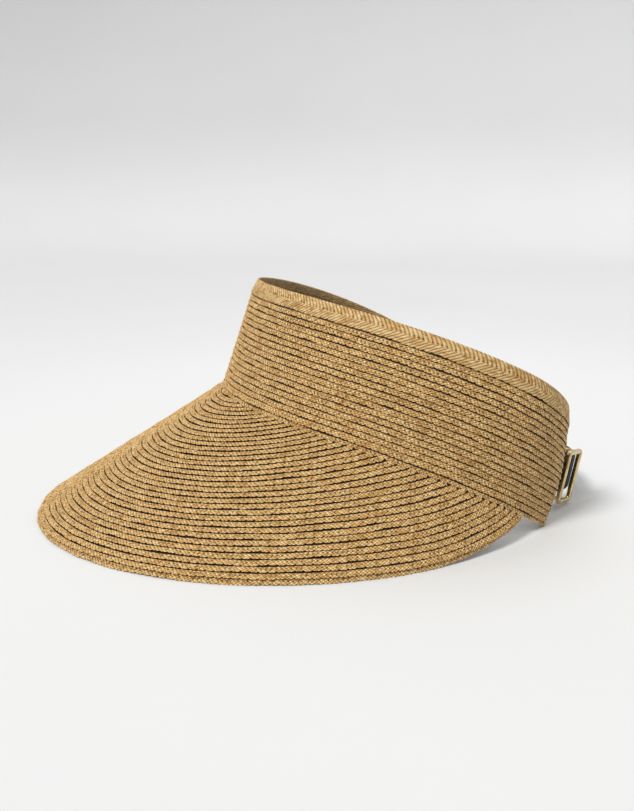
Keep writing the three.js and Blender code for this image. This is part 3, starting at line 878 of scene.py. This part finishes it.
def straw_finish(name, pitch, wide=False):
    """Dry raffia plait. Each strand has a tone of its own, with fibre streaks along it, and orange and
    brown patches. Painted highlight lightens the crown of each strand and painted shade darkens the
    grooves where strands cross and the small round holes between them. A painted shadow darkens a row
    where the next one laps over it and, by its shade value, painted shade darkens the faces that lie
    inside."""
    f = Finish(name, 0.62, specular=0.32)
    s, y, row = f.split("plait")
    if wide:
        folded = f.math("ABSOLUTE", f.math("SUBTRACT", y, (TOP_BRAID + LAP) / 2 + 0.5))
        a = f.math("ADD", f.math("DIVIDE", s, WIDE_STRAND), f.math("DIVIDE", folded, WIDE_RISE))
        cross, ahead = a, y
        family = f.math("GREATER_THAN", y, (TOP_BRAID + LAP) / 2 + 0.5)
    else:
        sx, yx = f.math("DIVIDE", s, STRAND), f.math("DIVIDE", y, STRAND_RISE)
        a, b = f.math("ADD", sx, yx), f.math("SUBTRACT", sx, yx)
        sum_of = f.math("ADD", f.math("FLOOR", a), f.math("FLOOR", b))
        family = f.math("ABSOLUTE", f.math("MODULO", sum_of, 2.0))
        other = f.math("SUBTRACT", 1.0, family)
        cross = f.math("ADD", f.math("MULTIPLY", a, other), f.math("MULTIPLY", b, family))
        ahead = f.math("ADD", f.math("MULTIPLY", b, other), f.math("MULTIPLY", a, family))
    strand = f.math("FLOOR", cross)
    tone = f.random(f.vector(strand, f.math("ADD", family, f.math("FLOOR", ahead)), row))
    fibre = f.noise(f.vector(f.math("MULTIPLY", cross, 6.0), f.math("MULTIPLY", ahead, 0.8), row),
                    1.0, 3.0, 0.6)
    patch = f.noise(f.vector(f.math("MULTIPLY", s, 0.26), f.math("MULTIPLY", y, 0.4),
                             f.math("MULTIPLY", row, 3.7)), 1.0, 3.0, 0.55)
    crown = f.math("ABSOLUTE", f.math("SINE", f.math("MULTIPLY", cross, math.pi)))
    if not wide:
        ends = f.math("ABSOLUTE", f.math("SINE", f.math("MULTIPLY", ahead, math.pi)))
        crown = f.math("MULTIPLY", crown, f.math("POWER", ends, 0.6))
    # Painted shade: the strands are darkened towards their edges, in the grooves where they cross.
    painted_groove_shade = f.fit(crown, 0.36, 0.0)
    light = f.math("ADD", f.math("MULTIPLY", tone, 0.24), f.math("MULTIPLY", fibre, 0.56))
    # Painted highlight: the crown of each strand is lightened; one of the two slants of strands is made a
    # little darker, as light falls on it less.
    light = f.math("ADD", light, f.math("MULTIPLY", crown, 0.26))
    light = f.math("SUBTRACT", light, f.math("MULTIPLY", family, 0.02))
    base = f.ramp(light, [
        (0.22, (0.200, 0.082, 0.012)),
        (0.38, (0.500, 0.260, 0.072)),
        (0.56, (0.790, 0.495, 0.185)),
        (0.78, (1.000, 0.800, 0.450)),
    ])
    warm = f.mix(f.fit(patch, 0.52, 0.74, 0.0, 0.75), base, RUSSET)
    # Painted shadow: a dark line on each row just under the next row's free edge, on top of the real
    # shadow that the stand-off casts; it is left off on faces with painted shade.
    painted_lap_shadow = f.fit(y, pitch - LAP_SHADOW_FROM, pitch - LAP_SHADOW_FULL)
    # Painted shade on the undersides and inner faces, read from the shade value.
    painted_shade_value = f.split("shade")[0]
    painted_lap_shadow = f.math("MULTIPLY", painted_lap_shadow, f.fit(painted_shade_value, 0.4, 0.1))
    # Painted shade: pin-holes drawn as round dark spots, of random strength and some left out, for the
    # shade seen through gaps between strands.
    hole_s = f.math("SUBTRACT", f.math("FRACT", f.math("DIVIDE", s, HOLE)), 0.5)
    hole_y = f.math("SUBTRACT", f.math("DIVIDE", y, HOLE), pitch * HOLE_HEIGHT / HOLE)
    hole = f.math("POWER", f.math("ADD", f.math("MULTIPLY", hole_s, hole_s),
                                  f.math("MULTIPLY", hole_y, hole_y)), 0.5)
    chosen = f.random(f.vector(f.math("FLOOR", f.math("DIVIDE", s, HOLE)), 7.0, row))
    hole = f.math("MULTIPLY", f.fit(hole, 0.3, 0.13), f.fit(chosen, 0.2, 0.6))
    # The painted shade of grooves, holes and inner faces and the painted lap shadow are mixed towards
    # deep brown; the wide rim braid is also darkened throughout by a fixed share.
    dark = f.math("MAXIMUM", f.math("MULTIPLY", painted_groove_shade, 0.5), f.math("MULTIPLY", hole, 0.8))
    dark = f.math("MAXIMUM", dark, f.math("MAXIMUM", painted_lap_shadow, painted_shade_value))
    dark = f.math("MAXIMUM", dark, 0.24 if wide else 0.0)
    f.colour(f.mix(dark, warm, DEEP_BROWN))
    height = f.math("ADD", f.math("MULTIPLY", crown, 0.8), f.math("MULTIPLY", fibre, 0.45))
    f.bump(height, 0.0004, 1.0)
    return f.done()


def cloth_finish(name, light, dark, pitch, slope, roughness=0.85):
    """Woven tape: twill lines of the given pitch that climb by slope, thread by thread, with worn
    lighter patches. The weave attribute runs along the tape, across it, and through it."""
    f = Finish(name, roughness, specular=0.25)
    along, across, depth = f.split("weave")
    line = f.math("ADD", f.math("DIVIDE", along, pitch), f.math("MULTIPLY", across, slope / pitch))
    wave = f.math("ABSOLUTE", f.math("SINE", f.math("MULTIPLY", line, math.pi)))
    cross = f.math("ABSOLUTE", f.math("SINE", f.math("MULTIPLY", across, math.pi / (pitch * 0.9))))
    weave = f.math("MULTIPLY", wave, f.math("ADD", f.math("MULTIPLY", cross, 0.35), 0.65))
    lane = f.vector(f.math("FLOOR", line), f.math("FLOOR", f.math("MULTIPLY", across, 1.4)), 0.0)
    thread = f.random(lane)
    worn = f.noise(f.vector(along, across, depth), 0.14, 4.0, 0.6)
    tone = f.math("ADD", f.math("MULTIPLY", weave, 0.5),
                  f.math("ADD", f.math("MULTIPLY", thread, 0.25), f.math("MULTIPLY", worn, 0.35)))
    f.colour(f.ramp(tone, [(0.15, dark), (0.95, light)]))
    f.bump(weave, 0.0002, 0.8)
    return f.done()


def thread_finish():
    """Twisted sewing thread: fine turns in Object coordinates."""
    f = Finish("sewing_thread", 0.6, specular=0.35)
    place = f.node("ShaderNodeTexCoord").outputs["Object"]
    twist = f.noise(place, 2600.0, 2.0)
    f.colour(f.ramp(twist, [(0.35, (0.012, 0.011, 0.011)), (0.7, (0.060, 0.056, 0.052))]))
    f.bump(twist, 0.00008, 0.6)
    return f.done()


def gold_finish():
    """Pale gold plating: nearly mirror-like, with faint polishing lines, small dents and a duller
    brown film where fingers don't reach."""
    f = Finish("pale_gold_plating", 0.2, metallic=1.0)
    place = f.node("ShaderNodeTexCoord").outputs["Object"]
    film = f.noise(place, 190.0, 4.0, 0.6)
    turned = f.node("ShaderNodeMapping")
    turned.inputs["Scale"].default_value = (60.0, 60.0, 2400.0)
    f.plug(turned.inputs["Vector"], place)
    lines = f.noise(turned.outputs[0], 1.0, 3.0, 0.6)
    f.colour(f.ramp(film, [(0.3, (0.50, 0.36, 0.155)), (0.7, (0.78, 0.62, 0.34))]))
    f.plug(f.shader.inputs["Roughness"],
           f.math("ADD", f.fit(film, 0.3, 0.7, 0.24, 0.12), f.math("MULTIPLY", lines, 0.1)))
    f.bump(f.math("ADD", f.math("MULTIPLY", lines, 0.25), film), 0.00003, 0.5)
    return f.done()


def floor_finish():
    """Matt white paper with a very faint grain, and painted light falloff: greyer with the distance and
    up the wall.
    """
    f = Finish("studio_paper", 0.9, specular=0.1)
    place = f.node("ShaderNodeTexCoord").outputs["Object"]
    grain = f.noise(place, 3.0, 4.0)
    x, y, z = f.parts(place)
    squares = f.math("ADD", f.math("MULTIPLY", x, x), f.math("MULTIPLY", y, y))
    distance = f.math("POWER", squares, 0.5)
    # Painted light falloff: the paper is made greyer with its distance from the middle and with height up
    # the wall.
    white = f.math("MULTIPLY", f.fit(distance, 0.1, 0.9, 1.0, 0.89), f.fit(z, 0.0, 0.36, 1.0, 0.83))
    paper = f.ramp(grain, [(0.3, (0.78, 0.785, 0.78)), (0.7, (0.80, 0.805, 0.80))])
    f.colour(f.mix(white, (0.0, 0.0, 0.0), paper))
    return f.done()


STRAW = straw_finish("natural_straw_plait", BAND_PITCH)
STRAW_BRIM = straw_finish("natural_straw_brim_plait", BRIM_PITCH)
STRAW_SEAM = straw_finish("natural_straw_seam_plait", SEAM_UPPER)
STRAW_FOOT = straw_finish("natural_straw_foot_plait", SEAM_LOWER)
STRAW_RIM = straw_finish("natural_straw_rim_plait", TOP_BRAID + LAP + 4, True)
COTTON = cloth_finish("brown_cotton_twill", (0.20, 0.135, 0.075), (0.045, 0.028, 0.015), 0.55, 0.8)
SEAM_COTTON = cloth_finish("tan_cotton_tape", (0.36, 0.25, 0.135), (0.13, 0.08, 0.038), 0.6, 0.0)
WEBBING = cloth_finish("black_ribbed_webbing", (0.030, 0.029, 0.031), (0.003, 0.003, 0.0035),
                       1.3, 0.0, 0.7)
THREAD = thread_finish()
GOLD = gold_finish()


# ---------------------------------------------------------------- studio

CAMERA_AZIMUTH = math.radians(75.0)
CAMERA_ELEVATION = math.radians(12.7)
CAMERA_DISTANCE = 0.5238
CAMERA_TARGET = Vector((0, (12.52 + SHIFT_Y) * 0.001, 0.0495))
FOCAL_RATIO = 1000.0 / 634.0           # focal length over the width of the sensor
KEY_STRENGTH = 2.05
KEY_SOFTNESS = math.radians(14)
TOP_SIZE = 1.6                         # metres, like the sweep's sizes below
TOP_POWER = 4
AIR_STRENGTH = 0.62
SWEEP_FLAT = 1.7
SWEEP_BEND = 0.9
SWEEP_WALL = 0.5


def away(azimuth, elevation):
    """Unit vector from the object to a viewer at that azimuth and elevation."""
    return Vector((math.sin(azimuth) * math.cos(elevation),
                   -math.cos(azimuth) * math.cos(elevation), math.sin(elevation)))


def aim(piece, target):
    """Turns a camera or a light towards the target."""
    piece.rotation_euler = (target - piece.location).to_track_quat("-Z", "Y").to_euler()


def build_camera():
    """The camera stands off the wearer's left side, a little in front and a little above."""
    data = bpy.data.cameras.new("camera")
    data.sensor_fit = "HORIZONTAL"
    data.sensor_width = 36
    data.lens = FOCAL_RATIO * data.sensor_width
    data.clip_start = 0.01
    camera = add("camera", data)
    camera.location = CAMERA_TARGET + away(CAMERA_AZIMUTH, CAMERA_ELEVATION) * CAMERA_DISTANCE
    aim(camera, CAMERA_TARGET)
    bpy.context.scene.camera = camera


def place_light(data, place):
    """A light at that place, aimed at what the camera looks at."""
    light = add(data.name, data)
    light.location = place
    aim(light, CAMERA_TARGET)


def build_sweep():
    """A round paper sweep: flat floor, a quarter circle, then a wall, turned about Z."""
    profile = [(0.0, 0.0)] + [(r, 0.0) for r in np.linspace(0.15, SWEEP_FLAT, 12)]
    for a in np.linspace(0, math.pi / 2, 14)[1:]:
        profile.append((SWEEP_FLAT + SWEEP_BEND * math.sin(a), SWEEP_BEND * (1 - math.cos(a))))
    profile.append((SWEEP_FLAT + SWEEP_BEND, SWEEP_BEND + SWEEP_WALL))
    profile = np.array(profile)
    ring = 96
    turn = np.linspace(0, 2 * math.pi, ring, endpoint=False)
    x = profile[:, :1] * np.cos(turn)
    y = profile[:, :1] * np.sin(turn)
    z = np.broadcast_to(profile[:, 1:], x.shape)
    points = np.stack([x, y, z], -1).reshape(-1, 3)
    mesh = bpy.data.meshes.new("paper_sweep")
    quads = tube_faces(len(profile), ring)
    mesh.from_pydata(points.tolist(), [], quads[:, ::-1].tolist())
    mesh.polygons.foreach_set("use_smooth", [True] * len(mesh.polygons))
    mesh.materials.append(floor_finish())
    sweep = add("paper_sweep", mesh)


def build_lights():
    """A soft sun from over the camera's left shoulder, a wide lamp overhead, and even white air."""
    right = Vector((math.cos(CAMERA_AZIMUTH), math.sin(CAMERA_AZIMUTH), 0))
    near = away(CAMERA_AZIMUTH, 0)
    up = Vector((0, 0, 1))
    key = bpy.data.lights.new("key", "SUN")
    key.energy = KEY_STRENGTH
    key.angle = KEY_SOFTNESS
    place_light(key, CAMERA_TARGET - right * 0.62 + near * 0.82 + up)
    top = bpy.data.lights.new("top", "AREA")
    top.shape = "DISK"
    top.size = TOP_SIZE
    top.energy = TOP_POWER
    place_light(top, CAMERA_TARGET + right * 0.2 - near * 0.3 + up * 1.5)

    world = bpy.data.worlds.new("studio_air")
    world.use_nodes = True
    background = world.node_tree.nodes["Background"]
    background.inputs["Color"].default_value = (1, 1, 1, 1)
    background.inputs["Strength"].default_value = AIR_STRENGTH
    bpy.context.scene.world = world
    bpy.context.scene.view_settings.view_transform = "Standard"


# ---------------------------------------------------------------- assembly

build_camera()
build_brim()
build_band()
build_tapes()
build_strap()
build_tab()
build_buckle()
build_sweep()
build_lights()
